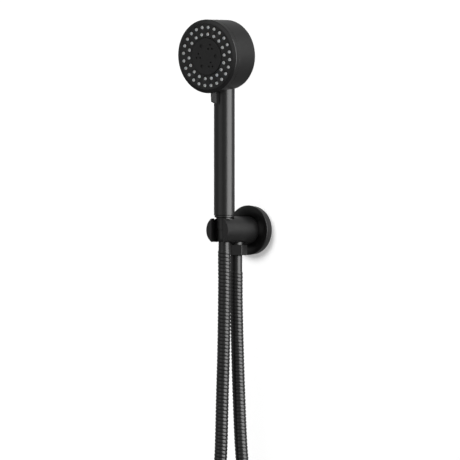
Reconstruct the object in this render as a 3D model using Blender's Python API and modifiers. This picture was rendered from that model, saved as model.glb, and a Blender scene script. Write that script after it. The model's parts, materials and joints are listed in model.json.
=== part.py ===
"""Handheld shower head docked in its wall outlet bracket, with the hose between them.

Frame: the wall is the plane y = 0 and the object stands off it towards -Y. The origin is the centre
of the flange on the wall, the bracket arm runs along -Y at z = 0, and the handset stands upright in
the arm. Outlines and sizes are in millimetres and become metres when they are built.
"""

import math

import bmesh
import bpy
from mathutils import Matrix, Vector
from mathutils.geometry import interpolate_bezier

MM = 0.001
GAP = 0.3

# Wall bracket
FLANGE_RADIUS = 28.2
FLANGE_BACK_RADIUS = 27.2
FLANGE_DEPTH = 9.4
ARM_RADIUS = 15.7
ARM_LENGTH = 65.4
INLET_RADIUS = 12.2
INLET_LENGTH = 16.0
WATERWAY_RADIUS = 6.5
SLOT_WIDTH = 16.8
SEAT_MID_RADIUS = 8.85
SEAT_SLOPE = 0.05
LINER_WALL = 0.9
LINER_TOP = 12.8
LINER_BOTTOM = -10.0
MOUTH_RADIUS = 11.4

# Axes of the two vertical stacks, measured off the wall
HANDLE_Y = -52.2
OUTLET_Y = -30.1

# Outlet under the arm
NIPPLE_RADIUS = 8.0
NUT_TOP = -16.5
NUT_BOTTOM = -28.3
NUT_ACROSS_CORNERS = 24.6
VALVE_STROKE = 1.5

# Handset
HANDLE_RADIUS = 11.75
HANDLE_WALL = 1.5
HANDLE_BOTTOM = 16.9
HANDLE_TOP = 178.0
NECK_SLOPE_DEG = 45.0
NECK_SLOPE_TOP = 166.0

# Drum, in its own frame: z = 0 at the face and the back at -DRUM_DEPTH
FACE_Y = -85.0
FACE_Z = 195.8
DRUM_TILT_DEG = 3.4
DRUM_RADIUS = 41.85
DRUM_BACK_RADIUS = 39.4
DRUM_DEPTH = 39.2
BAND_DEPTH = 8.4
BEZEL_DROP = 1.2
PLATE_RADIUS = 37.4
CENTRE_RADIUS = 21.0
NOZZLE_RINGS = ((33.0, 24), (25.2, 18))
NOZZLE_PHASE_DEG = 6.7
NOZZLE_RADIUS = 1.8
MIST_RADIUS = 11.5
MIST_SPREAD = 3.1
RECESS_RADIUS = 13.2

# Thumb lever, a fin under the selector ring
LEVER_WIDTH = 2.4
LEVER_FRONT = -6.8
LEVER_BACK = -14.1
LEVER_REACH_FRONT = 51.6
LEVER_REACH_BACK = 54.2
FIN_TOP = 42.0

# Hose
HOSE_RADIUS = 7.0
FERRULE_RADIUS = 6.5
HOSE_TOP_FRONT = -21.9
HOSE_TOP_WALL = -46.0
HOSE_POINTS = 62
HOSE_ROUTE = (
    (0.0, -52.2, -21.9),
    (-0.2, -52.2, -60.0),
    (-1.3, -52.2, -130.0),
    (-2.9, -52.2, -190.0),
    (-5.2, -52.0, -253.0),
    (-11.5, -51.0, -320.0),
    (-22.5, -49.5, -385.0),
    (-37.0, -47.5, -445.0),
    (-50.0, -45.5, -495.0),
    (-55.3, -44.3, -532.0),
    (-47.7, -43.1, -561.5),
    (-26.5, -42.0, -582.5),
    (2.5, -41.0, -590.0),
    (31.5, -40.0, -582.5),
    (52.7, -38.8, -561.5),
    (60.3, -37.5, -532.0),
    (56.0, -36.2, -495.0),
    (44.5, -34.5, -445.0),
    (30.0, -32.8, -385.0),
    (17.0, -31.2, -320.0),
    (8.2, -30.4, -253.0),
    (4.6, -30.1, -190.0),
    (2.2, -30.1, -130.0),
    (0.6, -30.1, -80.0),
    (0.0, -30.1, -46.0),
)

COARSE, FINE = 20, 40

PARTS = bpy.data.collections.new("shower_handset")
CUTTERS = bpy.data.collections.new("shower_handset_cutters")


def clear_scene():
    for item in list(bpy.data.objects):
        bpy.data.objects.remove(item, do_unlink=True)
    bpy.context.scene.collection.children.link(PARTS)
    bpy.context.scene.collection.children.link(CUTTERS)


def material(name, colour, roughness, metallic=0.0):
    made = bpy.data.materials.new(name)
    made.use_nodes = True
    shader = made.node_tree.nodes["Principled BSDF"]
    shader.inputs["Base Color"].default_value = (*colour, 1.0)
    shader.inputs["Roughness"].default_value = roughness
    shader.inputs["Metallic"].default_value = metallic
    return made


def place(name, mesh, finish, parent, cutter=False):
    """Puts a mesh in the scene, as a part with its finish or as a hidden cutter."""
    made = bpy.data.objects.new(name, mesh)
    (CUTTERS if cutter else PARTS).objects.link(made)
    made.parent = parent
    if cutter:
        made.hide_render = True
        made.display_type = "WIRE"
    else:
        mesh.materials.append(finish)
    return made


def turned(name, outline, finish, parent, steps=COARSE, cutter=False):
    """A turned piece. The outline is (radius, height) down the outer side and back up the inner side.

    It is closed into a ring unless both its ends lie on the axis.
    """
    mesh = bpy.data.meshes.new(name)
    points = [(radius * MM, 0.0, height * MM) for radius, height in outline]
    edges = [(i, i + 1) for i in range(len(points) - 1)]
    if outline[0][0] > 0.0:
        edges.append((len(points) - 1, 0))
    mesh.from_pydata(points, edges, [])
    made = place(name, mesh, finish, parent, cutter)
    screw = made.modifiers.new("Screw", "SCREW")
    screw.axis = "Z"
    screw.steps = steps
    screw.render_steps = steps
    screw.use_merge_vertices = True
    screw.merge_threshold = 0.00001
    screw.use_smooth_shade = True
    return made


def tube_outline(outer, inner, top, bottom, bevel=0.0):
    """A plain sleeve, with its outer corners bevelled."""
    if not bevel:
        return [(outer, top), (outer, bottom), (inner, bottom), (inner, top)]
    return [
        (outer - bevel, top),
        (outer, top - bevel),
        (outer, bottom + bevel),
        (outer - bevel, bottom),
        (inner, bottom),
        (inner, top),
    ]


def rod_outline(radius, top, bottom):
    return [(0.0, top), (radius, top), (radius, bottom), (0.0, bottom)]


def bmesh_piece(name, build, finish, parent, cutter=False):
    """A piece whose mesh the function build makes in a bmesh, in millimetres."""
    made_mesh = bpy.data.meshes.new(name)
    shape = bmesh.new()
    build(shape)
    bmesh.ops.scale(shape, vec=(MM, MM, MM), verts=shape.verts)
    shape.to_mesh(made_mesh)
    shape.free()
    return place(name, made_mesh, finish, parent, cutter)


def box(shape, low, high):
    centre = [(a + b) / 2 for a, b in zip(low, high)]
    size = [b - a for a, b in zip(low, high)]
    matrix = Matrix.Translation(centre) @ Matrix.Diagonal((*size, 1.0))
    bmesh.ops.create_cube(shape, size=1.0, matrix=matrix)


def stud(shape, x, y, top, bottom, top_radius, bottom_radius, sides=8):
    """An upright cone or cylinder from bottom to top."""
    matrix = Matrix.Translation((x, y, (top + bottom) / 2))
    bmesh.ops.create_cone(
        shape,
        cap_ends=True,
        segments=sides,
        radius1=bottom_radius,
        radius2=top_radius,
        depth=top - bottom,
        matrix=matrix,
    )


def boolean(target, tool, operation="DIFFERENCE"):
    made = target.modifiers.new(tool.name, "BOOLEAN")
    made.operation = operation
    made.solver = "EXACT"
    made.object = tool


def empty(name, location, rotation=(0.0, 0.0, 0.0)):
    made = bpy.data.objects.new(name, None)
    PARTS.objects.link(made)
    made.location = [value * MM for value in location]
    made.rotation_euler = rotation
    return made


def on_circle(radius, count, phase_deg=0.0):
    """Places clockwise from the top, as seen from the front."""
    for i in range(count):
        turn = math.radians(phase_deg + 360.0 * i / count)
        yield radius * math.sin(turn), radius * math.cos(turn)


# ---------------------------------------------------------------- drum


def drum_wall(height):
    """Outer radius of the drum, which narrows towards its back."""
    return DRUM_RADIUS + (DRUM_RADIUS - DRUM_BACK_RADIUS) * height / DRUM_DEPTH


def handle_core(name, radius, top_drop, parent, cutter=True, bottom=HANDLE_BOTTOM):
    """An upright rod whose top slopes down towards the wall, behind the drum."""
    rod = turned(name, rod_outline(radius, HANDLE_TOP - top_drop, bottom), None, parent, COARSE, cutter)
    slope = math.radians(NECK_SLOPE_DEG)
    normal = Vector((0.0, math.sin(slope), math.cos(slope)))
    through = Vector((0.0, HANDLE_RADIUS, NECK_SLOPE_TOP)) - normal * top_drop

    def wedge(shape):
        turn = Matrix.Rotation(-slope, 4, "X")
        at = Matrix.Translation(through + normal * 30.0)
        bmesh.ops.create_cube(shape, size=1.0, matrix=at @ turn @ Matrix.Diagonal((60.0, 90.0, 60.0, 1.0)))

    boolean(rod, bmesh_piece(name + "_slope", wedge, None, parent, cutter=True))
    return rod


def head_housing(drum, handle, finish):
    back = -DRUM_DEPTH
    lip = -BAND_DEPTH - GAP
    outline = [
        (drum_wall(lip) - 0.3, lip),
        (drum_wall(lip), lip - 0.3),
        (drum_wall(back + 0.8), back + 0.8),
        (DRUM_BACK_RADIUS - 0.25, back + 0.25),
        (DRUM_BACK_RADIUS - 0.8, back),
        (2.1, back),
        (2.1, -15.0 + 1.7),
        (5.0, -15.0 + 1.7),
        (5.0, back + 2.0),
        (37.2, back + 2.0),
        (37.9, back + 3.0),
        (38.3, -17.0),
        (39.75, -16.0),
        (39.75, lip),
    ]
    housing = turned("head_housing", outline, finish, drum, FINE)

    def detent_boss(shape):
        stud(shape, 0.0, 28.0, -18.2, back + 1.0, 4.2, 4.2, 12)

    def detent_bore(shape):
        stud(shape, 0.0, 28.0, -10.0, -28.3, 2.6, 2.6, 12)

    boolean(housing, bmesh_piece("detent_boss", detent_boss, None, drum, cutter=True), "UNION")
    boolean(housing, bmesh_piece("detent_bore", detent_bore, None, drum, cutter=True))
    boolean(housing, handle_core("handle_hole", HANDLE_RADIUS + GAP, -GAP, handle))
    return housing


def selector_ring(drum, finish):
    outline = [
        (DRUM_RADIUS - 0.7, -BEZEL_DROP + 0.15),
        (drum_wall(-BEZEL_DROP - 0.7), -BEZEL_DROP - 0.7),
        (drum_wall(-BAND_DEPTH + 0.3), -BAND_DEPTH + 0.3),
        (drum_wall(-BAND_DEPTH) - 0.3, -BAND_DEPTH),
        (39.4, -BAND_DEPTH),
        (39.4, -13.0),
        (38.2, -13.0),
        (38.2, -1.8),
        (PLATE_RADIUS + GAP, -1.8),
        (PLATE_RADIUS + GAP, 0.0),
    ]
    ring = turned("selector_ring", outline, finish, drum, FINE)

    def fin(shape):
        """Rooted in the band, it hangs clear of the housing, its lower edge sloping down to the rear."""
        half = LEVER_WIDTH / 2
        root = -BAND_DEPTH + 0.6
        side = [
            (-40.4, LEVER_FRONT),
            (-LEVER_REACH_FRONT, LEVER_FRONT),
            (-LEVER_REACH_BACK, LEVER_BACK),
            (-FIN_TOP, LEVER_BACK),
            (-FIN_TOP, root),
            (-40.4, root),
        ]
        face = shape.faces.new([shape.verts.new((-half, y, z)) for y, z in side])
        made = bmesh.ops.extrude_face_region(shape, geom=[face])["geom"]
        moved = [item for item in made if isinstance(item, bmesh.types.BMVert)]
        bmesh.ops.translate(shape, vec=(2 * half, 0.0, 0.0), verts=moved)
        bmesh.ops.recalc_face_normals(shape, faces=shape.faces)
        low = -LEVER_REACH_FRONT + 1.0
        edges = [edge for edge in shape.edges if all(v.co.y < low for v in edge.verts)]
        bmesh.ops.bevel(shape, geom=edges, offset=0.4, segments=2, affect="EDGES")

    boolean(ring, bmesh_piece("lever_fin", fin, None, drum, cutter=True), "UNION")
    return ring


def spray_plate(drum, finish):
    plate = turned("spray_plate", tube_outline(PLATE_RADIUS, CENTRE_RADIUS + GAP, -0.4, -2.6), finish, drum, FINE)

    def holes(shape):
        for radius, count in NOZZLE_RINGS:
            for x, y in on_circle(radius, count, NOZZLE_PHASE_DEG):
                stud(shape, x, y, 1.0, -4.0, NOZZLE_RADIUS + 0.5, NOZZLE_RADIUS + 0.5, 6)

    boolean(plate, bmesh_piece("nozzle_holes", holes, None, drum, cutter=True))
    return plate


def nozzle_mat(drum, finish):
    mat = turned("nozzle_mat", tube_outline(36.9, 21.8, -2.9, -4.3), finish, drum, FINE)

    def nozzles(shape):
        for radius, count in NOZZLE_RINGS:
            for x, y in on_circle(radius, count, NOZZLE_PHASE_DEG):
                stud(shape, x, y, 0.7, -3.6, NOZZLE_RADIUS - 0.3, NOZZLE_RADIUS, 6)

    boolean(mat, bmesh_piece("nozzles", nozzles, None, drum, cutter=True), "UNION")
    return mat


def centre_disc(drum, finish):
    outline = [(0.0, 0.4), (CENTRE_RADIUS - 0.5, 0.4), (CENTRE_RADIUS, -0.1), (CENTRE_RADIUS, -2.6), (0.0, -2.6)]
    disc = turned("centre_disc", outline, finish, drum, FINE)

    def mist_holes(shape):
        for x, y in on_circle(MIST_RADIUS, 3, 30.0):
            for dx, dy in on_circle(MIST_SPREAD, 3):
                stud(shape, x + dx, y + dy, 1.0, -4.0, 0.8, 0.8, 6)

    def recesses(shape):
        for x, y in on_circle(RECESS_RADIUS, 3, 90.0):
            stud(shape, x, y, 1.0, -0.3, 2.15, 2.15, 12)

    boolean(disc, bmesh_piece("mist_holes", mist_holes, None, drum, cutter=True))
    boolean(disc, bmesh_piece("recesses", recesses, None, drum, cutter=True))
    return disc


def drum_inside(drum, plastic, rubber, steel):
    """What turns, seals and clicks behind the face."""
    turned(
        "manifold",
        [
            (21.4, -2.9),
            (21.4, -7.6),
            (35.8, -7.6),
            (35.8, -4.6),
            (37.8, -4.6),
            (37.8, -10.5),
            (2.1, -10.5),
            (2.1, -5.5),
            (4.0, -5.5),
            (4.0, -2.9),
            (6.0, -2.9),
            (6.0, -5.5),
            (17.0, -5.5),
            (17.0, -2.9),
        ],
        plastic,
        drum,
        FINE,
    )
    seat = turned("diverter_seat", tube_outline(37.8, 2.1, -10.8, -13.0), plastic, drum, FINE)
    rotor = turned("diverter_rotor", tube_outline(39.3, 7.2, -13.3, -15.0), plastic, drum, FINE)

    def seat_ports(shape):
        for x, y in on_circle(24.0, 6, 15.0):
            stud(shape, x, y, -9.0, -15.0, 3.0, 3.0, 12)

    def rotor_ports(shape):
        for x, y in on_circle(24.0, 3, 15.0):
            stud(shape, x, y, -12.0, -17.0, 3.0, 3.0, 12)
        for turn in (-25.0, 0.0, 25.0):
            x, y = next(on_circle(28.0, 1, turn))
            stud(shape, x, y, -14.6, -17.0, 0.6, 1.6, 12)

    boolean(seat, bmesh_piece("seat_ports", seat_ports, None, drum, cutter=True))
    boolean(rotor, bmesh_piece("rotor_ports", rotor_ports, None, drum, cutter=True))
    ring_of("rotor_seal", 6.1, 0.75, -14.15, rubber, drum)
    turned(
        "centre_screw",
        [(0.0, -3.2), (3.6, -3.2), (3.6, -5.2), (1.8, -5.2), (1.8, -24.0), (0.0, -25.0)],
        steel,
        drum,
        16,
    )

    def ball(shape):
        bmesh.ops.create_uvsphere(shape, u_segments=14, v_segments=8, radius=2.2)
        bmesh.ops.translate(shape, vec=(0.0, 28.0, -17.5), verts=shape.verts)

    bmesh_piece("detent_ball", ball, steel, drum)
    coil("detent_spring", (0.0, 28.0), -20.3, -27.9, 2.0, 0.3, 4, steel, drum)


def ring_of(name, radius, thickness, height, finish, parent, sides=8):
    """An O-ring: a round section turned about the axis, its outline running down the outer side."""
    outline = []
    for i in range(sides):
        turn = math.radians(90.0 - 360.0 * i / sides)
        outline.append((radius + thickness * math.cos(turn), height + thickness * math.sin(turn)))
    return turned(name, outline, finish, parent)


def coil(name, centre, top, bottom, radius, wire, turns, finish, parent):
    """A compression spring with a round wire, as a poly curve made solid."""
    count = turns * 9 + 1
    points = []
    for i in range(count):
        turn = 2 * math.pi * turns * i / (count - 1)
        height = top - wire + (bottom - top + 2 * wire) * i / (count - 1)
        points.append((centre[0] + radius * math.cos(turn), centre[1] + radius * math.sin(turn), height))
    return wire_piece(name, points, wire, 0, finish, parent)


def wire_piece(name, points, radius, resolution, finish, parent):
    """A round wire, tube or hose along points."""
    curve = bpy.data.curves.new(name, "CURVE")
    curve.dimensions = "3D"
    curve.bevel_depth = radius * MM
    curve.bevel_resolution = resolution
    curve.use_fill_caps = True
    spline = curve.splines.new("POLY")
    spline.points.add(len(points) - 1)
    for knot, point in zip(spline.points, points):
        knot.co = (*[value * MM for value in point], 1.0)
    made = bpy.data.objects.new(name, curve)
    PARTS.objects.link(made)
    made.parent = parent
    curve.materials.append(finish)
    return made


# ---------------------------------------------------------------- handle and tail


def handle_parts(handle, paint, plastic, rubber):
    tube = handle_core("handle_tube", HANDLE_RADIUS, 0.0, handle, cutter=False)
    tube.data.materials.clear()
    tube.data.materials.append(paint)
    inner = handle_core("handle_bore", HANDLE_RADIUS - HANDLE_WALL, 2.0, handle, bottom=HANDLE_BOTTOM - 2.0)
    boolean(tube, inner)

    def port(shape):
        turn = Matrix.Translation((0.0, -HANDLE_RADIUS, 164.0)) @ Matrix.Rotation(math.pi / 2, 4, "X")
        bmesh.ops.create_cone(
            shape, cap_ends=True, segments=16, radius1=4.0, radius2=4.0, depth=10.0, matrix=turn
        )

    boolean(tube, bmesh_piece("water_port", port, None, handle, cutter=True))
    turned("water_tube", tube_outline(5.5, 4.3, 156.0, 32.4), plastic, handle)
    turned(
        "handle_tail",
        [
            (9.0, 32.0),
            (9.95, 31.0),
            (9.95, 16.6),
            (11.05, 16.6),
            (11.05, 14.7),
            (9.4, 14.3),
            (9.3, 13.0),
            (9.0, 10.0),
            (8.5, 0.15),
            (5.6, 0.15),
            (5.6, -6.0),
            (3.6, -6.0),
            (3.6, 24.0),
            (4.9, 24.0),
            (4.9, 32.0),
        ],
        paint,
        handle,
    )
    turned("flow_limiter", tube_outline(4.6, 1.2, 27.5, 24.3), rubber, handle, 16)


def hose_end(front, paint, brass, rubber):
    turned(
        "cone_nut",
        [
            (8.3, -0.15),
            (8.45, -0.5),
            (7.95, -10.5),
            (7.6, -12.6),
            (7.2, -13.1),
            (4.2, -13.1),
            (4.2, -9.3),
            (5.9, -9.3),
            (5.9, -0.15),
        ],
        paint,
        front,
    )
    turned(
        "swivel_core",
        [(5.6, -7.8), (5.6, -9.0), (3.9, -9.0), (3.9, -21.3), (2.6, -21.3), (2.6, -7.8)],
        brass,
        front,
        16,
    )
    turned("tail_washer", tube_outline(5.5, 3.0, -6.3, -7.5), rubber, front, 16)
    turned("hose_ferrule_front", tube_outline(FERRULE_RADIUS, 4.2, -13.4, -21.6, 0.4), paint, front)


# ---------------------------------------------------------------- wall bracket


def wall_parts(arm, wall, paint, brass, plastic, rubber, steel):
    """The arm's frame has its local +Z along the arm, away from the wall."""
    flange = turned(
        "wall_flange",
        [
            (16.0, FLANGE_DEPTH),
            (FLANGE_RADIUS - 0.5, FLANGE_DEPTH),
            (FLANGE_RADIUS, FLANGE_DEPTH - 0.5),
            (FLANGE_BACK_RADIUS, 0.0),
            (24.3, 0.0),
            (24.3, 1.5),
            (17.7, 1.5),
            (17.7, 0.0),
            (16.0, 0.0),
        ],
        paint,
        arm,
        FINE,
    )

    def grub_hole(shape):
        stud(shape, 0.0, -4.7, -13.0, -30.0, 2.3, 2.3, 12)

    grub_bore = bmesh_piece("grub_hole", grub_hole, None, wall, cutter=True)
    boolean(flange, grub_bore)
    body = turned(
        "arm_body",
        [
            (0.0, ARM_LENGTH),
            (ARM_RADIUS - 0.4, ARM_LENGTH),
            (ARM_RADIUS, ARM_LENGTH - 0.4),
            (ARM_RADIUS, 0.6),
            (INLET_RADIUS + GAP, 0.6),
            (INLET_RADIUS + GAP, INLET_LENGTH + GAP),
            (WATERWAY_RADIUS, INLET_LENGTH + GAP),
            (WATERWAY_RADIUS, 35.0),
            (0.0, 35.0),
        ],
        paint,
        arm,
        36,
    )
    seat_low, seat_high = (
        SEAT_MID_RADIUS + SEAT_SLOPE * height + LINER_WALL + GAP for height in (LINER_BOTTOM - GAP, LINER_TOP)
    )

    def seat_hole(shape):
        stud(shape, 0.0, HANDLE_Y, LINER_TOP, LINER_BOTTOM - GAP, seat_high, seat_low, 32)

    def through_hole(shape):
        stud(shape, 0.0, HANDLE_Y, 0.0, -20.0, SLOT_WIDTH / 2, SLOT_WIDTH / 2, 32)

    def mouth(shape):
        stud(shape, 0.0, HANDLE_Y, 20.0, LINER_TOP - GAP, MOUTH_RADIUS, MOUTH_RADIUS, 32)

    def slot(shape):
        half = SLOT_WIDTH / 2
        box(shape, (-half, HANDLE_Y - 30.0, -20.0), (half, HANDLE_Y, 20.0))

    def outlet_bore(shape):
        stud(shape, 0.0, OUTLET_Y, -5.7, -20.0, NIPPLE_RADIUS + GAP, NIPPLE_RADIUS + GAP, 24)

    def outlet_way(shape):
        stud(shape, 0.0, OUTLET_Y, 0.0, -10.0, 3.9, 3.9, 16)

    for name, build in (
        ("seat_hole", seat_hole),
        ("through_hole", through_hole),
        ("mouth", mouth),
        ("slot", slot),
        ("outlet_bore", outlet_bore),
        ("outlet_way", outlet_way),
    ):
        boolean(body, bmesh_piece(name, build, None, wall, cutter=True))
    boolean(body, grub_bore)

    inner_low, inner_high = (SEAT_MID_RADIUS + SEAT_SLOPE * height for height in (LINER_BOTTOM, LINER_TOP))
    liner = turned(
        "holder_liner",
        [
            (inner_high + LINER_WALL, LINER_TOP),
            (inner_low + LINER_WALL, LINER_BOTTOM),
            (inner_low, LINER_BOTTOM),
            (inner_high, LINER_TOP),
        ],
        plastic,
        wall_axis(HANDLE_Y),
        32,
    )

    def liner_slot(shape):
        half = SLOT_WIDTH / 2 - 0.6
        box(shape, (-half, HANDLE_Y - 30.0, -20.0), (half, HANDLE_Y, 20.0))

    boolean(liner, bmesh_piece("liner_slot", liner_slot, None, wall, cutter=True))
    turned(
        "wall_inlet",
        [
            (INLET_RADIUS, INLET_LENGTH),
            (INLET_RADIUS, 1.0),
            (9.6, 1.0),
            (9.6, 13.0),
            (5.0, 13.0),
            (5.0, INLET_LENGTH),
        ],
        brass,
        arm,
    )
    turned("inlet_washer", tube_outline(9.3, 5.5, 12.7, 11.2), rubber, arm)
    turned("wall_gasket", tube_outline(24.0, 18.0, 1.2, 0.0), rubber, arm, 32)
    grub = turned("grub_screw", rod_outline(2.0, -13.4, -24.5), steel, wall_axis(-4.7), 12)

    def socket(shape):
        stud(shape, 0.0, -4.7, -22.5, -26.0, 1.15, 1.15, 6)

    boolean(grub, bmesh_piece("grub_socket", socket, None, wall, cutter=True))


def wall_axis(y):
    """An upright axis at the distance y from the wall."""
    return empty("axis_" + str(abs(y)).replace(".", "_"), (0.0, y, 0.0))


def outlet_parts(outlet, brass, plastic, rubber, steel, paint):
    turned("outlet_nipple", tube_outline(NIPPLE_RADIUS, 6.3, -6.0, -23.5, 0.5), brass, outlet)

    def nut_outer(shape):
        stud(shape, 0.0, 0.0, NUT_TOP, NUT_BOTTOM, NUT_ACROSS_CORNERS / 2, NUT_ACROSS_CORNERS / 2, 6)
        bmesh.ops.rotate(shape, matrix=Matrix.Rotation(math.radians(8.0), 3, "Z"), verts=shape.verts)
        flats = [edge for edge in shape.edges if abs(edge.verts[0].co.z - edge.verts[1].co.z) < 0.1]
        bmesh.ops.bevel(shape, geom=flats, offset=0.5, segments=1, affect="EDGES")

    nut = bmesh_piece("hex_nut", nut_outer, paint, outlet)
    bore = [
        (NIPPLE_RADIUS + GAP, NUT_TOP + 1.0),
        (NIPPLE_RADIUS + GAP, -26.6),
        (4.2, -26.6),
        (4.2, NUT_BOTTOM - 1.0),
        (0.0, NUT_BOTTOM - 1.0),
    ]
    boolean(nut, turned("nut_bore", [(0.0, NUT_TOP + 1.0), *bore], None, outlet, COARSE, cutter=True))
    turned("hose_washer", tube_outline(7.9, 4.0, -23.8, -25.0), rubber, outlet)
    turned(
        "hose_insert_wall",
        [(7.8, -25.3), (7.8, -26.3), (3.9, -26.3), (3.9, -45.4), (2.6, -45.4), (2.6, -25.3)],
        brass,
        outlet,
        16,
    )
    turned("hose_ferrule_wall", tube_outline(FERRULE_RADIUS, 4.2, -28.6, -45.7, 0.4), paint, outlet)
    turned(
        "check_valve_body",
        [
            (6.0, -8.0),
            (6.0, -22.0),
            (2.6, -22.0),
            (2.6, -20.6),
            (4.7, -20.6),
            (4.7, -9.6),
            (3.2, -9.6),
            (3.2, -8.0),
        ],
        plastic,
        outlet,
        16,
    )
    turned(
        "check_valve_poppet",
        [(0.0, -9.9), (4.1, -9.9), (4.1, -11.1), (1.2, -11.1), (1.2, -18.2), (0.0, -18.2)],
        plastic,
        outlet,
        16,
    )
    coil("check_valve_spring", (0.0, 0.0), -11.5, -20.2, 3.2, 0.35, 4, steel, outlet)


# ---------------------------------------------------------------- hose


def hose_points():
    """Evenly spaced points of the smooth curve through the route."""
    knots = [Vector(point) for point in HOSE_ROUTE]
    slopes = [(b - a) / 2 for a, b in zip(knots[:-2], knots[2:])]
    slopes = [Vector((0.0, 0.0, -38.0)), *slopes, Vector((0.0, 0.0, 34.0))]
    dense = []
    for i in range(len(knots) - 1):
        reach = (knots[i + 1] - knots[i]).length
        out = slopes[i].normalized() * reach / 3
        back = slopes[i + 1].normalized() * reach / 3
        dense += interpolate_bezier(knots[i], knots[i] + out, knots[i + 1] - back, knots[i + 1], 24)[:-1]
    dense.append(knots[-1])
    run = [0.0]
    for a, b in zip(dense[:-1], dense[1:]):
        run.append(run[-1] + (b - a).length)
    points, j = [], 0
    for i in range(HOSE_POINTS):
        along = run[-1] * i / (HOSE_POINTS - 1)
        while j < len(dense) - 2 and run[j + 1] < along:
            j += 1
        share = (along - run[j]) / (run[j + 1] - run[j])
        points.append(dense[j].lerp(dense[j + 1], min(share, 1.0)))
    return points


def main():
    clear_scene()
    paint = material("matt_black_paint", (0.02, 0.02, 0.021), 0.5)
    plastic = material("black_plastic", (0.018, 0.018, 0.018), 0.55)
    face = material("face_plastic", (0.012, 0.012, 0.012), 0.5)
    silicone = material("grey_silicone", (0.32, 0.32, 0.32), 0.6)
    rubber = material("black_rubber", (0.02, 0.02, 0.02), 0.8)
    brass = material("brass", (0.72, 0.55, 0.25), 0.35, 1.0)
    steel = material("steel", (0.6, 0.6, 0.6), 0.3, 1.0)
    hose_metal = material("black_hose", (0.03, 0.03, 0.03), 0.35, 1.0)

    tilt = (math.radians(90.0 + DRUM_TILT_DEG), 0.0, 0.0)
    drum = empty("drum_axis", (0.0, FACE_Y, FACE_Z), tilt)
    handle = empty("handle_axis", (0.0, HANDLE_Y, 0.0))
    outlet = empty("outlet_axis", (0.0, OUTLET_Y, 0.0))
    arm = empty("arm_axis", (0.0, 0.0, 0.0), (math.pi / 2, 0.0, 0.0))
    wall = empty("wall_origin", (0.0, 0.0, 0.0))

    head_housing(drum, handle, paint)
    selector_ring(drum, paint)
    spray_plate(drum, face)
    nozzle_mat(drum, silicone)
    centre_disc(drum, face)
    drum_inside(drum, plastic, rubber, steel)
    handle_parts(handle, paint, plastic, rubber)
    hose_end(handle, paint, brass, rubber)
    wall_parts(arm, wall, paint, brass, plastic, rubber, steel)
    outlet_parts(outlet, brass, plastic, rubber, steel, paint)
    wire_piece("shower_hose", hose_points(), HOSE_RADIUS, 2, hose_metal, wall)


main()
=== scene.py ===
"""Looks of a handheld shower head docked in its wall outlet bracket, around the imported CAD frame.

Lengths in outlines are millimetres; places come from the frame's boxes and joints.
"""

import json
import math

import bmesh
import bpy
import numpy as np
from mathutils import Matrix, Vector
from mathutils.geometry import interpolate_bezier


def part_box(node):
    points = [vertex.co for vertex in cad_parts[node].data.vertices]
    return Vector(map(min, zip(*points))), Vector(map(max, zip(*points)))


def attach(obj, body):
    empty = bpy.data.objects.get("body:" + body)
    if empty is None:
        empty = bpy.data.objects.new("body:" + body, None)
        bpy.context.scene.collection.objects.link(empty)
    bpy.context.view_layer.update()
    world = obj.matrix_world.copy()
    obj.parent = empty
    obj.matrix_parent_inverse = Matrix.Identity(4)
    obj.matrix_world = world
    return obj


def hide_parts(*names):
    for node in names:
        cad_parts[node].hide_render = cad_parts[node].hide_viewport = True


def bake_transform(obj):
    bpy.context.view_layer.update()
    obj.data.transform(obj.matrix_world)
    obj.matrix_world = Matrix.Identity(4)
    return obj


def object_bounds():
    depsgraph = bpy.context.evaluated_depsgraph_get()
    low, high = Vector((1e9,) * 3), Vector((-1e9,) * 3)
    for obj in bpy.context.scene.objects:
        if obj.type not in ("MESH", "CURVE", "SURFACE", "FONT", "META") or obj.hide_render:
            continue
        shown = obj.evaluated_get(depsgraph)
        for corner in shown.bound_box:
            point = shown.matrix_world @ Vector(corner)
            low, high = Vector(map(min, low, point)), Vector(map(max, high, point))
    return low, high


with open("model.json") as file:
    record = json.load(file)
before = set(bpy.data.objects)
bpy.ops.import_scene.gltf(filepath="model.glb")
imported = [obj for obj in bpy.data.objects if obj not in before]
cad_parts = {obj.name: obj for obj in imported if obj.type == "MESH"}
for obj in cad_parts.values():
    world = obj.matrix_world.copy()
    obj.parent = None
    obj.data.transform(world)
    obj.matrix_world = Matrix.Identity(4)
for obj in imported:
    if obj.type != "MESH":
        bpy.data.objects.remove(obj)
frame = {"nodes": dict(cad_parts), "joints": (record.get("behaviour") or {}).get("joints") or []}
cad_low, cad_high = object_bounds()

MM = 0.001
ROUND = 128
SMALL_ROUND = 64


def centre_of(node):
    low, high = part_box(node)
    return (low + high) / 2


# ---------------------------------------------------------------- places, from the frame

HANDLE_AXIS = centre_of("handle_tube").y
OUTLET_AXIS = centre_of("hex_nut").y
JOINTS = {joint["name"]: joint for joint in frame["joints"]}
DRUM_FORWARD = Vector(JOINTS["spray_select"]["axis"]).normalized()
DRUM_CENTRE = Vector(JOINTS["spray_select"]["pos_m"])
DRUM_R = (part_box("selector_ring")[1].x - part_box("selector_ring")[0].x) / 2 / MM
FLANGE_R = (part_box("wall_flange")[1].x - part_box("wall_flange")[0].x) / 2 / MM
FLANGE_T = -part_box("wall_flange")[0].y / MM
ARM_R = (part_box("arm_body")[1].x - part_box("arm_body")[0].x) / 2 / MM
ARM_END = -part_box("arm_body")[0].y / MM
HANDLE_R = (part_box("handle_tube")[1].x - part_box("handle_tube")[0].x) / 2 / MM
HANDLE_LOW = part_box("handle_tube")[0].z / MM
HANDLE_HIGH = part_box("handle_tube")[1].z / MM
NUT_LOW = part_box("hex_nut")[0].z / MM
NUT_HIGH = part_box("hex_nut")[1].z / MM
NUT_TURN = Matrix.Rotation(math.radians(8.0), 4, "Z")

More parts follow.
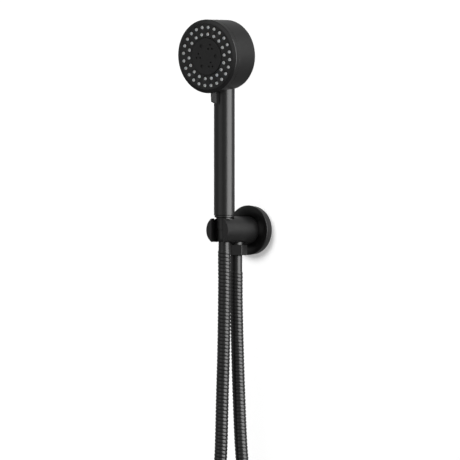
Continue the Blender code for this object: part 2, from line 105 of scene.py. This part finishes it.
DRUM_BACK = -39.2
DRUM_BACK_R = 39.4
BAND = -8.4
BEZEL_DROP = 1.2
PLATE_R = 37.4
CENTRE_R = 21.0
NOZZLE_RINGS = ((33.0, 24), (25.2, 18))
NOZZLE_PHASE = 6.7
NOZZLE_HOLE_R = 2.1
MIST_CIRCLE_R = 11.5
MIST_SPREAD = 3.1
MIST_HOLE_R = 1.15
DISH_CIRCLE_R = 13.2
DISH_R = 2.3
DISH_DEPTH = 1.2
SLOT_WIDTH = 16.8
NECK_SLOPE = math.radians(45.0)
NECK_SLOPE_TOP = 166.0

HANDLE = Matrix.Translation((0.0, HANDLE_AXIS, 0.0))
OUTLET = Matrix.Translation((0.0, OUTLET_AXIS, 0.0))
ARM = Matrix.Rotation(math.pi / 2, 4, "X")


def facing(forward, place):
    """A frame whose +Z is forward and whose +Y is up."""
    side = Vector((0.0, 0.0, 1.0)).cross(forward).normalized()
    up = forward.cross(side)
    return Matrix.Translation(place) @ Matrix((side, up, forward)).transposed().to_4x4()


DRUM = facing(DRUM_FORWARD, DRUM_CENTRE)

# ---------------------------------------------------------------- camera

CAMERA_TURN = math.radians(38.0)
CAMERA_AWAY = 16.0
VIEW_WIDTH = 0.5193
VIEW_ASIDE = 0.0064
VIEW_HEIGHT = 0.0002


def add_camera():
    """A long lens, level with the bracket and 38 degrees round towards +X."""
    towards = Vector((math.sin(CAMERA_TURN), -math.cos(CAMERA_TURN), 0.0))
    right = Vector((math.cos(CAMERA_TURN), math.sin(CAMERA_TURN), 0.0))
    data = bpy.data.cameras.new("camera")
    data.sensor_width = 36.0
    data.lens = data.sensor_width * CAMERA_AWAY / VIEW_WIDTH
    data.clip_end = 100.0
    camera = bpy.data.objects.new("camera", data)
    centre = Vector((0.0, HANDLE_AXIS, VIEW_HEIGHT)) + right * VIEW_ASIDE
    camera.location = centre + towards * CAMERA_AWAY
    camera.rotation_mode = "QUATERNION"
    camera.rotation_quaternion = (-towards).to_track_quat("-Z", "Y")
    bpy.context.scene.collection.objects.link(camera)
    bpy.context.scene.camera = camera


add_camera()

# ---------------------------------------------------------------- materials

NOISE_LOW = 0.3
NOISE_HIGH = 0.7


class Nodes:
    """A material's node tree with the few nodes that these finishes are made of."""

    def __init__(self, name):
        self.material = bpy.data.materials.new(name)
        self.material.use_nodes = True
        self.tree = self.material.node_tree
        self.shader = self.tree.nodes["Principled BSDF"]
        self.place = self.tree.nodes.new("ShaderNodeTexCoord").outputs["Object"]

    def link(self, out, to):
        self.tree.links.new(out, to)

    def noise(self, size_mm, detail=2.0):
        """Noise whose features are about size_mm across."""
        node = self.tree.nodes.new("ShaderNodeTexNoise")
        node.inputs["Scale"].default_value = 1.0 / (size_mm * MM)
        node.inputs["Detail"].default_value = detail
        self.link(self.place, node.inputs["Vector"])
        return node.outputs["Fac"]

    def spread(self, fac, low, high):
        """The noise's middle range stretched from low to high."""
        node = self.tree.nodes.new("ShaderNodeMapRange")
        node.inputs["From Min"].default_value = NOISE_LOW
        node.inputs["From Max"].default_value = NOISE_HIGH
        node.inputs["To Min"].default_value = low
        node.inputs["To Max"].default_value = high
        self.link(fac, node.inputs["Value"])
        return node.outputs["Result"]

    def colours(self, fac, first, second):
        """The noise's middle range as a ramp between two colours."""
        ramp = self.tree.nodes.new("ShaderNodeValToRGB")
        ramp.color_ramp.elements[0].position = NOISE_LOW
        ramp.color_ramp.elements[0].color = (*first, 1.0)
        ramp.color_ramp.elements[1].position = NOISE_HIGH
        ramp.color_ramp.elements[1].color = (*second, 1.0)
        self.link(fac, ramp.inputs["Fac"])
        return ramp.outputs["Color"]

    def bump(self, fac, height_mm, strength=1.0, under=None):
        node = self.tree.nodes.new("ShaderNodeBump")
        node.inputs["Distance"].default_value = height_mm * MM
        node.inputs["Strength"].default_value = strength
        self.link(fac, node.inputs["Height"])
        if under is not None:
            self.link(under, node.inputs["Normal"])
        return node.outputs["Normal"]

    def set(self, **values):
        for name, value in values.items():
            self.shader.inputs[name.replace("_", " ")].default_value = value


def grained(name, dark, light, rough, grain_mm, height_mm, patch_mm=9.0, **values):
    """A solid finish: slow colour patches, fine grain in the roughness and in the surface."""
    made = Nodes(name)
    grain = made.noise(grain_mm)
    patches = made.noise(patch_mm, 3.0)
    made.link(made.colours(patches, dark, light), made.shader.inputs["Base Color"])
    made.link(made.spread(grain, rough[0], rough[1]), made.shader.inputs["Roughness"])
    slow = made.bump(made.noise(grain_mm * 4.0), height_mm * 1.5, 0.5)
    made.link(made.bump(grain, height_mm, 0.6, slow), made.shader.inputs["Normal"])
    made.set(**values)
    return made.material


def grey(value):
    return (value, value, value)


FINISHES = {
    "paint": grained("black_powder_coat", grey(0.0040), grey(0.0055), (0.28, 0.35), 0.35, 0.006),
    "moulded": grained("black_moulded", grey(0.004), grey(0.006), (0.40, 0.5), 0.5, 0.008),
    "face": grained("face_moulded", grey(0.0035), grey(0.0050), (0.36, 0.46), 0.45, 0.008),
    "liner": grained("liner_nylon", grey(0.006), grey(0.010), (0.5, 0.62), 0.6, 0.01),
    "silicone": grained(
        "grey_silicone",
        grey(0.38),
        grey(0.43),
        (0.42, 0.55),
        0.4,
        0.01,
        patch_mm=2.5,
        Subsurface_Weight=0.06,
    ),
    "rubber": grained("black_rubber", grey(0.010), grey(0.016), (0.6, 0.8), 0.5, 0.02),
    "hose": grained(
        "black_wound_metal", grey(0.0050), grey(0.0075), (0.24, 0.33), 0.5, 0.006, patch_mm=14.0
    ),
    "brass": grained(
        "machined_brass", (0.62, 0.43, 0.17), (0.74, 0.54, 0.24), (0.22, 0.38), 0.3, 0.004, Metallic=1.0
    ),
    "steel": grained("spring_steel", grey(0.50), grey(0.60), (0.2, 0.34), 0.3, 0.004, Metallic=1.0),
}

# ---------------------------------------------------------------- mesh making


def rounded(outline, closed, steps=4):
    """The outline with each corner that carries a third number rounded to that radius."""
    points = []
    count = len(outline)
    for i, corner in enumerate(outline):
        here = Vector(corner[:2])
        radius = corner[2] if len(corner) > 2 else 0.0
        if not radius or (not closed and i in (0, count - 1)):
            points.append(here)
            continue
        before = Vector(outline[i - 1][:2]) - here
        after = Vector(outline[(i + 1) % count][:2]) - here
        reach = min(radius, before.length * 0.48, after.length * 0.48)
        first, last = here + before.normalized() * reach, here + after.normalized() * reach
        for j in range(steps + 1):
            t = j / steps
            points.append(first.lerp(here, t).lerp(here.lerp(last, t), t))
    return points


def lathe_mesh(name, outline, segments=ROUND):
    """A turned mesh about +Z, in millimetres; an outline off the axis is closed into a ring.

    Where the outline meets the axis, one flat face fills the ring beside it.
    """
    closed = outline[0][0] > 0.0
    points = rounded(outline, closed)
    shape = bmesh.new()
    rows = []
    for point in points:
        if point.x <= 0.0:
            rows.append(None)
            continue
        row = []
        for j in range(segments):
            turn = 2 * math.pi * j / segments
            row.append(shape.verts.new((point.x * math.cos(turn), point.x * math.sin(turn), point.y)))
        rows.append(row)
    pairs = list(zip(rows[:-1], rows[1:]))
    if closed:
        pairs.append((rows[-1], rows[0]))
    for upper, lower in pairs:
        if upper is None or lower is None:
            if upper or lower:
                shape.faces.new(upper or lower)
            continue
        for j in range(segments):
            k = (j + 1) % segments
            shape.faces.new((upper[j], lower[j], lower[k], upper[k]))
    return meshed(shape, name)


def meshed(shape, name):
    bmesh.ops.recalc_face_normals(shape, faces=shape.faces)
    mesh = bpy.data.meshes.new(name)
    shape.to_mesh(mesh)
    shape.free()
    return mesh


def solid(name, mesh, at):
    """An object from a mesh in millimetres, baked into the row frame in metres."""
    mesh.transform(Matrix.Translation(at.translation) @ at.to_3x3().to_4x4() @ Matrix.Scale(MM, 4))
    made = bpy.data.objects.new(name, mesh)
    bpy.context.scene.collection.objects.link(made)
    return made


def turned(name, outline, at, segments=ROUND):
    return solid(name, lathe_mesh(name, outline, segments), at)


def block(name, low, high, at):
    shape = bmesh.new()
    size = [b - a for a, b in zip(low, high)]
    middle = [(a + b) / 2 for a, b in zip(low, high)]
    place = Matrix.Translation(middle) @ Matrix.Diagonal((*size, 1.0))
    bmesh.ops.create_cube(shape, size=1.0, matrix=place)
    return solid(name, meshed(shape, name), at)


def apply_modifiers(obj):
    graph = bpy.context.evaluated_depsgraph_get()
    mesh = bpy.data.meshes.new_from_object(obj.evaluated_get(graph))
    obj.modifiers.clear()
    obj.data = mesh


def carve(obj, tools):
    """Cuts the tools out of a piece and removes them."""
    for tool in tools:
        made = obj.modifiers.new("carve", "BOOLEAN")
        made.operation = "DIFFERENCE"
        made.solver = "EXACT"
        made.object = tool
    bpy.context.view_layer.update()
    apply_modifiers(obj)
    for tool in tools:
        bpy.data.objects.remove(tool)
    return obj


def soften(obj, width_mm):
    """Rounds a piece's sharp edges."""
    weld = obj.modifiers.new("weld", "WELD")
    weld.merge_threshold = 0.000002
    bevel = obj.modifiers.new("bevel", "BEVEL")
    bevel.width = width_mm * MM
    bevel.segments = 3
    bevel.limit_method = "ANGLE"
    bevel.angle_limit = math.radians(30.0)
    bevel.harden_normals = False
    bevel.miter_outer = "MITER_ARC"
    bpy.context.view_layer.update()
    apply_modifiers(obj)
    return obj


def done(obj, finish, slot, body, *nodes):
    """Gives a piece its finish, smooth shading and body, and hides the CAD nodes that it stands for."""
    obj.data.materials.clear()
    obj.data.materials.append(FINISHES[finish])
    obj.data.shade_smooth()
    normals = obj.modifiers.new("normals", "WEIGHTED_NORMAL")
    normals.keep_sharp = True
    normals.weight = 80
    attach(obj, body)
    if nodes:
        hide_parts(*nodes)
    return obj


def joined(name, meshes):
    """One mesh from several."""
    shape = bmesh.new()
    for mesh in meshes:
        shape.from_mesh(mesh)
        bpy.data.meshes.remove(mesh)
    return meshed(shape, name)


def on_circle(radius, count, phase=0.0):
    for i in range(count):
        turn = math.radians(phase + 360.0 * i / count)
        yield radius * math.sin(turn), radius * math.cos(turn)


def pin_mesh(name, radius, depth, segments):
    """A round cutter that stands 2 mm out of the face and goes depth into it."""
    return lathe_mesh(name, [(0, 2), (radius, 2), (radius, -depth), (0, -depth)], segments)


def moved(mesh, x, y):
    mesh.transform(Matrix.Translation((x, y, 0.0)))
    return mesh


# ---------------------------------------------------------------- hose

HOSE_ROUTE = (
    (0.0, -0.0522, -0.0219),
    (0.0002, -0.0522, -0.0600),
    (-0.0009, -0.0522, -0.1300),
    (-0.0029, -0.0522, -0.1900),
    (-0.0052, -0.0520, -0.2530),
    (-0.0115, -0.0510, -0.3200),
    (-0.0225, -0.0495, -0.3850),
    (-0.0370, -0.0475, -0.4450),
    (-0.0500, -0.0455, -0.4950),
    (-0.0553, -0.0443, -0.5320),
    (-0.0477, -0.0431, -0.5615),
    (-0.0265, -0.0420, -0.5825),
    (0.0025, -0.0410, -0.5900),
    (0.0315, -0.0400, -0.5825),
    (0.0527, -0.0388, -0.5615),
    (0.0603, -0.0375, -0.5320),
    (0.0560, -0.0362, -0.4950),
    (0.0445, -0.0345, -0.4450),
    (0.0300, -0.0328, -0.3850),
    (0.0170, -0.0312, -0.3200),
    (0.0078, -0.0304, -0.2530),
    (0.0038, -0.0301, -0.1900),
    (0.0014, -0.0301, -0.1300),
    (0.0000, -0.0301, -0.0800),
    (0.0, -0.0301, -0.0460),
)
CREST_R = 7.32 * MM
END_R = 6.55 * MM
RIB_PITCH = 4.1 * MM
RIB_DEPTH = 0.42 * MM
GROOVE_SHARE = 0.17
CROWN_SHARE = 0.1
TAPER = 3.0 * MM
RINGS_PER_RIB = 10
HOSE_SIDES = 28


def hose_line():
    """The smooth curve through the route, and how far along it each of its points lies."""
    knots = [Vector(point) for point in HOSE_ROUTE]
    slopes = [(b - a) / 2 for a, b in zip(knots[:-2], knots[2:])]
    slopes = [Vector((0.0, 0.0, -1.0)), *slopes, Vector((0.0, 0.0, 1.0))]
    dense = []
    for i in range(len(knots) - 1):
        reach = (knots[i + 1] - knots[i]).length / 3
        out, back = slopes[i].normalized() * reach, slopes[i + 1].normalized() * reach
        dense += interpolate_bezier(knots[i], knots[i] + out, knots[i + 1] - back, knots[i + 1], 24)[:-1]
    dense = np.array([*dense, knots[-1]])
    run = np.concatenate([[0.0], np.cumsum(np.linalg.norm(np.diff(dense, axis=0), axis=1))])
    return dense, run


def wound_hose():
    """A metal hose: one band wound in a helix, its turns meeting in a groove.
    """
    dense, run = hose_line()
    length = run[-1]
    count = int(length / RIB_PITCH * RINGS_PER_RIB) + 1
    along = np.linspace(0.0, length, count)
    line = np.stack([np.interp(along, run, dense[:, k]) for k in range(3)], axis=1)
    tangents = np.gradient(line, axis=0)
    tangents /= np.linalg.norm(tangents, axis=1)[:, None]
    side = np.array((1.0, 0.0, 0.0))
    turns = 2 * np.pi * np.arange(HOSE_SIDES) / HOSE_SIDES
    rings = []
    for i in range(count):
        side = side - tangents[i] * (side @ tangents[i])
        side /= np.linalg.norm(side)
        other = np.cross(tangents[i], side)
        phase = (along[i] / RIB_PITCH + turns / (2 * np.pi)) % 1.0
        groove = np.exp(-(((phase - 0.5) / GROOVE_SHARE) ** 2))
        crown = CROWN_SHARE * np.cos(2 * np.pi * phase)
        ribbed = CREST_R - RIB_DEPTH * (groove - crown + CROWN_SHARE)
        open_share = min(along[i], length - along[i], TAPER) / TAPER
        radius = END_R + (ribbed - END_R) * math.sin(open_share * math.pi / 2)
        outward = np.cos(turns)[:, None] * side + np.sin(turns)[:, None] * other
        rings.append(line[i] + radius[:, None] * outward)
    shape = bmesh.new()
    rows = [[shape.verts.new(point) for point in ring] for ring in rings]
    for upper, lower in zip(rows[:-1], rows[1:]):
        for j in range(HOSE_SIDES):
            k = (j + 1) % HOSE_SIDES
            shape.faces.new((upper[j], lower[j], lower[k], upper[k]))
    shape.faces.new(rows[0])
    shape.faces.new(rows[-1])
    hose = bpy.data.objects.new("wound_hose", meshed(shape, "wound_hose"))
    bpy.context.scene.collection.objects.link(hose)
    hose.data.materials.append(FINISHES["hose"])
    hose.data.shade_smooth()
    hose.data.set_sharp_from_angle(angle=math.radians(65.0))
    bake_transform(hose)
    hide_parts("shower_hose")
    return hose, dense[::4].tolist() + [dense[-1].tolist()], length


def ferrule(name, top, bottom, at, body, node):
    """A plain crimped sleeve between the hose and its nut."""
    return done(
        turned(
            name,
            [
                (4.2, top),
                (6.45, top, 0.2),
                (6.6, top - 1.2, 0.4),
                (6.6, bottom, 0.1),
                (4.2, bottom),
            ],
            at,
            SMALL_ROUND,
        ),
        "paint",
        "painted_metal_black",
        body,
        node,
    )


hose, hose_path, hose_length = wound_hose()
front_ferrule = ferrule("front_ferrule", -13.12, -22.1, HANDLE, "hose_end", "hose_ferrule_front")
wall_ferrule = ferrule("wall_ferrule", -28.32, -46.2, OUTLET, "wall_bracket", "hose_ferrule_wall")


def cone_nut_piece():
    cone = turned(
        "cone_nut_shell",
        [
            (5.9, -0.2),
            (8.4, -0.2, 0.15),
            (8.45, -0.8),
            (7.95, -10.5, 0.8),
            (7.55, -12.5, 0.4),
            (7.1, -13.1, 0.3),
            (4.2, -13.1),
            (4.2, -9.3),
            (5.9, -9.3),
        ],
        HANDLE,
        SMALL_ROUND,
    )
    return done(cone, "paint", "painted_metal_black", "hose_end", "cone_nut")


def hex_nut_piece():
    shape = bmesh.new()
    low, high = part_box("hex_nut")
    corner = max(high.y - low.y, high.x - low.x) / 2 / MM * 1.008
    bmesh.ops.create_cone(
        shape,
        cap_ends=True,
        segments=6,
        radius1=corner,
        radius2=corner,
        depth=NUT_HIGH - NUT_LOW,
        matrix=Matrix.Translation((0, 0, (NUT_HIGH + NUT_LOW) / 2)) @ NUT_TURN,
    )
    nut = solid("hex_nut_shell", meshed(shape, "hex_nut_shell"), OUTLET)
    bore = turned(
        "nut_bore",
        [
            (0.0, NUT_HIGH + 1),
            (8.3, NUT_HIGH + 1),
            (8.3, -26.6),
            (4.2, -26.6),
            (4.2, NUT_LOW - 1),
            (0.0, NUT_LOW - 1),
        ],
        OUTLET,
        SMALL_ROUND,
    )
    carve(nut, [bore])
    soften(nut, 0.35)
    return done(nut, "paint", "painted_metal_black", "wall_bracket", "hex_nut")


cone_nut = cone_nut_piece()
hex_nut = hex_nut_piece()

# ---------------------------------------------------------------- drum


def drum_wall(height):
    return DRUM_R + (DRUM_R - DRUM_BACK_R) * height / -DRUM_BACK


def neck_rod(name, radius, drop, bottom):
    """The handle's rod with its top sloped down towards the wall."""
    above = HANDLE_HIGH + 14.0
    rod = turned(name, [(0.0, above), (radius, above), (radius, bottom), (0.0, bottom)], HANDLE)
    normal = Vector((0.0, math.sin(NECK_SLOPE), math.cos(NECK_SLOPE)))
    through = Vector((0.0, HANDLE_R, NECK_SLOPE_TOP)) - normal * drop + normal * 40.0
    tilt = Matrix.Rotation(-NECK_SLOPE, 4, "X")
    at = HANDLE @ Matrix.Translation(through * MM) @ tilt
    flat_top = HANDLE_HIGH - drop
    tools = [
        block("slope", (-40, -70, -40), (40, 70, 40), at),
        block("flat", (-40, -40, flat_top), (40, 40, flat_top + 60), HANDLE),
    ]
    return carve(rod, tools)


def drum_housing():
    housing = turned(
        "housing_shell",
        [
            (39.75, BAND - 0.3),
            (drum_wall(BAND - 0.15), BAND - 0.15, 0.15),
            (DRUM_BACK_R, DRUM_BACK, 0.9),
            (0.0, DRUM_BACK),
            (0.0, DRUM_BACK + 2.0),
            (37.2, DRUM_BACK + 2.0, 0.8),
            (38.3, -17.0),
            (39.75, -16.0),
        ][::-1],
        DRUM,
        160,
    )
    carve(housing, [neck_rod("handle_hole", HANDLE_R + 0.3, -0.3, HANDLE_LOW)])
    done(housing, "paint", "painted_metal_black", "handset", "head_housing")


def selector_ring():
    ring = turned(
        "selector_ring_shell",
        [
            (DRUM_R, -BEZEL_DROP, 0.8),
            (drum_wall(BAND), BAND, 0.15),
            (39.4, BAND),
            (39.4, -13.0),
            (38.2, -13.0),
            (38.2, -1.8),
            (PLATE_R + 0.15, -1.8),
            (PLATE_R + 0.15, 0.0, 0.1),
        ],
        DRUM,
        160,
    )
    done(ring, "paint", "painted_metal_black", "selector", "selector_ring")


def thumb_lever():
    """The thin fin under the selector ring, part of the same node."""
    shape = bmesh.new()
    half, front, back, root = 1.2, -6.8, -14.1, BAND + 0.6
    outline = [
        (front, -41.0),
        (front, -51.6),
        (back, -54.2),
        (back, -41.25),
        (root, -41.5),
        (root, -41.0),
    ]
    sides = [[shape.verts.new((x, y, z)) for z, y in outline] for x in (-half, half)]
    shape.faces.new(sides[0])
    shape.faces.new(sides[1][::-1])
    for i in range(len(outline)):
        j = (i + 1) % len(outline)
        shape.faces.new((sides[0][i], sides[1][i], sides[1][j], sides[0][j]))
    lever = solid("thumb_lever", meshed(shape, "thumb_lever"), DRUM)
    soften(lever, 0.25)
    done(lever, "paint", "painted_metal_black", "selector")


def spray_plate():
    plate = turned(
        "spray_plate_shell",
        [
            (PLATE_R, -0.15, 0.1),
            (PLATE_R, -2.6),
            (CENTRE_R + 0.5, -2.6),
            (CENTRE_R + 0.5, -0.15, 0.1),
        ],
        DRUM,
        160,
    )
    holes = []
    for radius, count in NOZZLE_RINGS:
        for x, y in on_circle(radius, count, NOZZLE_PHASE):
            holes.append(moved(pin_mesh("hole", NOZZLE_HOLE_R, 4, 24), x, y))
    carve(plate, [solid("nozzle_holes", joined("nozzle_holes", holes), DRUM)])
    done(plate, "face", "face_plastic", "handset", "spray_plate")


def nozzle_mat():
    nozzles = [
        lathe_mesh("mat", [(36.9, -2.9, 0.2), (36.9, -4.3), (21.8, -4.3), (21.8, -2.9, 0.2)], 120)
    ]
    tip = [
        (0.0, -0.35),
        (0.42, -0.35),
        (0.42, 0.62, 0.1),
        (0.75, 0.8, 0.3),
        (1.5, 0.62, 0.35),
        (1.86, -0.3, 0.3),
        (1.9, -3.2),
        (0.0, -3.2),
    ]
    for radius, count in NOZZLE_RINGS:
        for x, y in on_circle(radius, count, NOZZLE_PHASE):
            nozzles.append(moved(lathe_mesh("nozzle", tip, 20), x, y))
    mat = solid("silicone_nozzles", joined("silicone_nozzles", nozzles), DRUM)
    done(mat, "silicone", "silicone_grey", "handset", "nozzle_mat")


def centre_disc():
    disc = turned(
        "centre_disc_shell",
        [(0.0, 0.35), (CENTRE_R - 0.1, 0.35, 0.12), (CENTRE_R - 0.1, -2.6), (0.0, -2.6)],
        DRUM,
        ROUND,
    )
    tools = []
    for x, y in on_circle(MIST_CIRCLE_R, 3, 30.0):
        for dx, dy in on_circle(MIST_SPREAD, 3):
            tools.append(moved(pin_mesh("hole", MIST_HOLE_R, 4, 20), x + dx, y + dy))
    for x, y in on_circle(DISH_CIRCLE_R, 3, 90.0):
        tools.append(moved(pin_mesh("dish", DISH_R, DISH_DEPTH, 32), x, y))
    carve(disc, [solid("disc_holes", joined("disc_holes", tools), DRUM)])
    done(disc, "face", "face_plastic", "handset", "centre_disc")


def handle_tube():
    tube = neck_rod("handle_tube_shell", HANDLE_R, 0.0, HANDLE_LOW)
    soften(tube, 0.3)
    high, low = HANDLE_LOW + 120, HANDLE_LOW - 2
    carve(tube, [turned("bore", [(0, high), (10.25, high), (10.25, low), (0, low)], HANDLE)])
    done(tube, "paint", "painted_metal_black", "handset", "handle_tube")


def handle_tail():
    tail = turned(
        "handle_tail_shell",
        [
            (4.9, 32.0),
            (9.0, 32.0),
            (9.95, 31.0),
            (9.95, 16.85),
            (11.05, 16.85),
            (11.05, 14.7, 0.25),
            (9.4, 14.2, 0.2),
            (9.3, 13.0),
            (9.0, 10.0),
            (8.5, 0.25, 0.1),
            (5.6, 0.25),
            (5.6, -6.0),
            (3.6, -6.0),
            (3.6, 24.0),
            (4.9, 24.0),
        ],
        HANDLE,
        SMALL_ROUND,
    )
    done(tail, "paint", "painted_metal_black", "handset", "handle_tail")


# ---------------------------------------------------------------- wall bracket


def wall_flange():
    flange = turned(
        "flange_shell",
        [
            (16.0, FLANGE_T),
            (FLANGE_R - 0.05, FLANGE_T, 0.7),
            (27.25, 0.0),
            (24.3, 0.0),
            (24.3, 1.5),
            (17.7, 1.5),
            (17.7, 0.0),
            (16.0, 0.0),
        ],
        ARM,
        160,
    )
    done(flange, "paint", "painted_metal_black", "wall_bracket", "wall_flange")


def bracket_arm():
    """The arm, with the conical seat and the slot that the hose goes in through."""
    arm = turned(
        "arm_shell",
        [
            (0.0, ARM_END),
            (ARM_R, ARM_END),
            (ARM_R, 0.6),
            (12.5, 0.6),
            (12.5, 16.3),
            (6.5, 16.3),
            (6.5, 35.0),
            (0.0, 35.0),
        ],
        ARM,
        ROUND,
    )
    half = SLOT_WIDTH / 2
    seat_mid = 10.05
    arm_tools = [
        turned(
            "seat",
            [
                (0.0, 24.0),
                (11.4, 24.0),
                (11.4, 12.5),
                (seat_mid + 0.63, 12.4),
                (seat_mid - 0.5, -10.3),
                (half, -10.3),
                (half, -24.0),
                (0.0, -24.0),
            ],
            HANDLE,
            ROUND,
        ),
        block("slot", (-half, -40, -24), (half, 0, 24), HANDLE),
    ]
    for tool in arm_tools:
        carve(arm, [tool])
    soften(arm, 0.35)
    carve(
        arm,
        [turned("outlet_bore", [(0, -5.7), (8.3, -5.7), (8.3, -24), (0, -24)], OUTLET, SMALL_ROUND)],
    )
    done(arm, "paint", "painted_metal_black", "wall_bracket", "arm_body")


def holder_liner():
    liner = turned(
        "liner_shell",
        [
            (9.49, 12.8, 0.15),
            (10.39, 12.8, 0.15),
            (9.25, -10.0),
            (8.35, -10.0, 0.15),
        ][::-1],
        HANDLE,
        ROUND,
    )
    carve(liner, [block("liner_slot", (-7.8, -40, -24), (7.8, 0, 24), HANDLE)])
    done(liner, "liner", "matt_plastic", "wall_bracket", "holder_liner")


def outlet_nipple():
    nipple = turned(
        "outlet_nipple_shell",
        [(6.3, -6.0), (8.0, -6.0), (8.0, -23.5, 0.5), (6.3, -23.5)],
        OUTLET,
        SMALL_ROUND,
    )
    done(nipple, "paint", "painted_metal_black", "wall_bracket", "outlet_nipple")


# ---------------------------------------------------------------- stage and light

WALL_SIZE = 3.0
FLOOR_DROP = 0.05
LIGHT_AIM = Vector((0.0, -0.05, 0.0))


def stage_finish(name, brightness, glow):
    """A pale matt surface that is clear from behind, so that it never hides the object."""
    made = bpy.data.materials.new(name)
    made.use_nodes = True
    tree = made.node_tree
    shader = tree.nodes["Principled BSDF"]
    shader.inputs["Base Color"].default_value = (*grey(brightness), 1.0)
    shader.inputs["Roughness"].default_value = 0.9
    shader.inputs["Specular IOR Level"].default_value = 0.0
    shader.inputs["Emission Color"].default_value = (1.0, 1.0, 1.0, 1.0)
    shader.inputs["Emission Strength"].default_value = glow
    clear = tree.nodes.new("ShaderNodeBsdfTransparent")
    mix = tree.nodes.new("ShaderNodeMixShader")
    side = tree.nodes.new("ShaderNodeNewGeometry")
    tree.links.new(side.outputs["Backfacing"], mix.inputs[0])
    tree.links.new(shader.outputs[0], mix.inputs[1])
    tree.links.new(clear.outputs[0], mix.inputs[2])
    tree.links.new(mix.outputs[0], tree.nodes["Material Output"].inputs["Surface"])
    return made


def stage_plane(name, location, rotation, size, finish):
    mesh = bpy.data.meshes.new(name)
    shape = bmesh.new()
    bmesh.ops.create_grid(shape, x_segments=1, y_segments=1, size=size / 2)
    shape.to_mesh(mesh)
    shape.free()
    plane = bpy.data.objects.new(name, mesh)
    plane.location = location
    plane.rotation_euler = rotation
    mesh.materials.append(finish)
    bpy.context.scene.collection.objects.link(plane)
    plane.visible_glossy = False
    plane.visible_shadow = False
    return plane


def area_light(name, turn_deg, rise_deg, away, width, height, radiance):
    """A soft box that faces the bracket from a bearing measured from -Y towards +X."""
    turn, rise = math.radians(turn_deg), math.radians(rise_deg)
    direction = Vector((math.sin(turn) * math.cos(rise), -math.cos(turn) * math.cos(rise), math.sin(rise)))
    data = bpy.data.lights.new(name, "AREA")
    data.shape = "RECTANGLE"
    data.size = width
    data.size_y = height
    data.energy = radiance * math.pi * width * height
    lamp = bpy.data.objects.new(name, data)
    lamp.location = LIGHT_AIM + direction * away
    lamp.rotation_mode = "QUATERNION"
    lamp.rotation_quaternion = (-direction).to_track_quat("-Z", "Z")
    bpy.context.scene.collection.objects.link(lamp)
    return lamp


def wash_wall(lamp, wall, blockers):
    """Lets a lamp light the wall only, with no shadow but that of the pieces that lie on the wall."""
    lit = bpy.data.collections.new("washed")
    lit.objects.link(wall)
    close = bpy.data.collections.new("close_to_wall")
    for piece in blockers:
        close.objects.link(piece)
    lamp.light_linking.receiver_collection = lit
    lamp.light_linking.blocker_collection = close


def set_world(above, below, seen):
    """Soft light all round, dimmer from below, and plain white where the camera looks past everything."""
    world = bpy.data.worlds.new("studio")
    world.use_nodes = True
    tree = world.node_tree
    lit = tree.nodes["Background"]
    lit.inputs["Color"].default_value = (1.0, 1.0, 1.0, 1.0)
    direction = tree.nodes.new("ShaderNodeTexCoord").outputs["Generated"]
    parts = tree.nodes.new("ShaderNodeSeparateXYZ")
    height = tree.nodes.new("ShaderNodeMapRange")
    height.inputs["From Min"].default_value = -0.45
    height.inputs["From Max"].default_value = 0.05
    height.inputs["To Min"].default_value = below
    height.inputs["To Max"].default_value = above
    tree.links.new(direction, parts.inputs[0])
    tree.links.new(parts.outputs["Z"], height.inputs["Value"])
    tree.links.new(height.outputs["Result"], lit.inputs["Strength"])
    plain = tree.nodes.new("ShaderNodeBackground")
    plain.inputs["Color"].default_value = (1.0, 1.0, 1.0, 1.0)
    plain.inputs["Strength"].default_value = seen
    path = tree.nodes.new("ShaderNodeLightPath")
    mix = tree.nodes.new("ShaderNodeMixShader")
    tree.links.new(path.outputs["Is Camera Ray"], mix.inputs[0])
    tree.links.new(lit.outputs[0], mix.inputs[1])
    tree.links.new(plain.outputs[0], mix.inputs[2])
    tree.links.new(mix.outputs[0], tree.nodes["World Output"].inputs["Surface"])
    bpy.context.scene.world = world


def studio():
    wall = stage_plane(
        "wall",
        (0.0, 0.0006, 0.0),
        (math.pi / 2, 0.0, 0.0),
        WALL_SIZE,
        stage_finish("wall", 0.15, 0.35),
    )
    stage_plane(
        "floor",
        (0.0, 0.0, cad_low.z - FLOOR_DROP),
        (0.0, 0.0, 0.0),
        WALL_SIZE,
        stage_finish("floor", 0.3, 0.75),
    )
    set_world(0.34, 0.12, 1.0)
    area_light("side_box", 99.0, 13.0, 1.6, 2.3, 1.7, 5.6)
    area_light("front_box", -12.0, 18.0, 2.6, 2.2, 2.6, 0.55)
    wash = area_light("wall_wash", -16.0, 30.0, 6.0, 4.0, 4.0, 38.0)
    wash_wall(wash, wall, [bpy.data.objects["flange_shell"]])
    bpy.context.scene.view_settings.view_transform = "Standard"


# ---------------------------------------------------------------- everything together

KEPT_NODES = {
    "moulded": (
        "water_tube",
        "manifold",
        "diverter_seat",
        "diverter_rotor",
        "check_valve_body",
        "check_valve_poppet",
    ),
    "rubber": ("flow_limiter", "rotor_seal", "tail_washer", "hose_washer", "inlet_washer", "wall_gasket"),
    "brass": ("swivel_core", "hose_insert_wall", "wall_inlet"),
    "steel": ("centre_screw", "detent_ball", "detent_spring", "grub_screw", "check_valve_spring"),
}


def finish_kept_nodes():
    """The inner pieces keep their CAD shape and get their finish."""
    for finish, names in KEPT_NODES.items():
        for name in names:
            node = frame["nodes"][name]
            node.data.materials.clear()
            node.data.materials.append(FINISHES[finish])
            node.data.shade_smooth()
            node.data.set_sharp_from_angle(angle=math.radians(35.0))


drum_housing()
selector_ring()
thumb_lever()
spray_plate()
nozzle_mat()
centre_disc()
handle_tube()
handle_tail()
wall_flange()
bracket_arm()
holder_liner()
outlet_nipple()
finish_kept_nodes()
studio()
